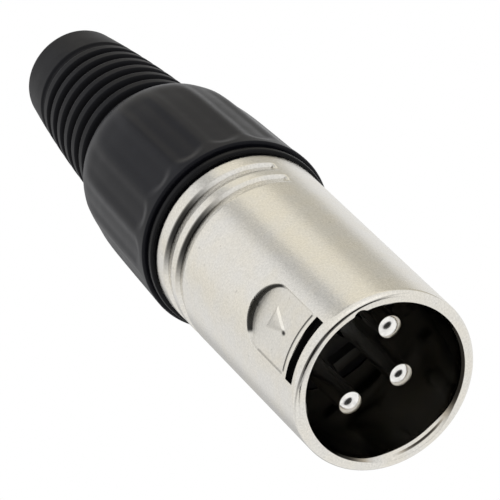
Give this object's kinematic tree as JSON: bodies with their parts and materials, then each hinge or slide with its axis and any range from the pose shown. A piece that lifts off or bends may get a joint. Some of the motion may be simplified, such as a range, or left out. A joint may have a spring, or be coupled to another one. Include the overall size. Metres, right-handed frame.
{
  "type": "xlr plug",
  "caption": "Three-pin male XLR cable plug in satin nickel, with a latch slot, a thumb pocket with an arrow, and a black fluted boot with a ribbed tail.",
  "frame": {"origin": "centre of the mating rim's plane, on the plug's axis, with the plug standing on that rim", "axes": "+Z along the plug's axis from the mating rim to the end of the boot; -Y out through the latch slot and the thumb pocket"},
  "size_m": [0.0206, 0.0206, 0.075],
  "materials": {
    "shell_nickel": "satin",
    "contact_silver": "polished",
    "insert_black": "matte",
    "chuck_white": "matte",
    "nut_black": "gloss",
    "boot_black": "matte"
  },
  "bodies": {
    "plug_body": {"shell": "shell_nickel", "insert": "insert_black", "pin_1": "contact_silver", "pin_2": "contact_silver", "pin_3": "contact_silver", "ground_contact": "contact_silver"},
    "chuck_body": {"chuck": "chuck_white"},
    "boot_body": {"boot_nut": "nut_black", "boot": "boot_black"}
  },
  "joints": [
    {"name": "chuck_slide", "type": "slide", "parent": "plug_body", "child": "chuck_body", "axis": [0, 0, 1], "range_m": [0, 0.0042]},
    {"name": "boot_turn", "type": "hinge", "parent": "chuck_body", "child": "boot_body", "pos_m": [0, 0, 0.0324], "axis": [0, 0, 1], "range_deg": [0, 990]}
  ],
  "couplings": [
    {"joint": "chuck_slide", "follows": "boot_turn", "m_per_rad": 0.00023873}
  ]
}
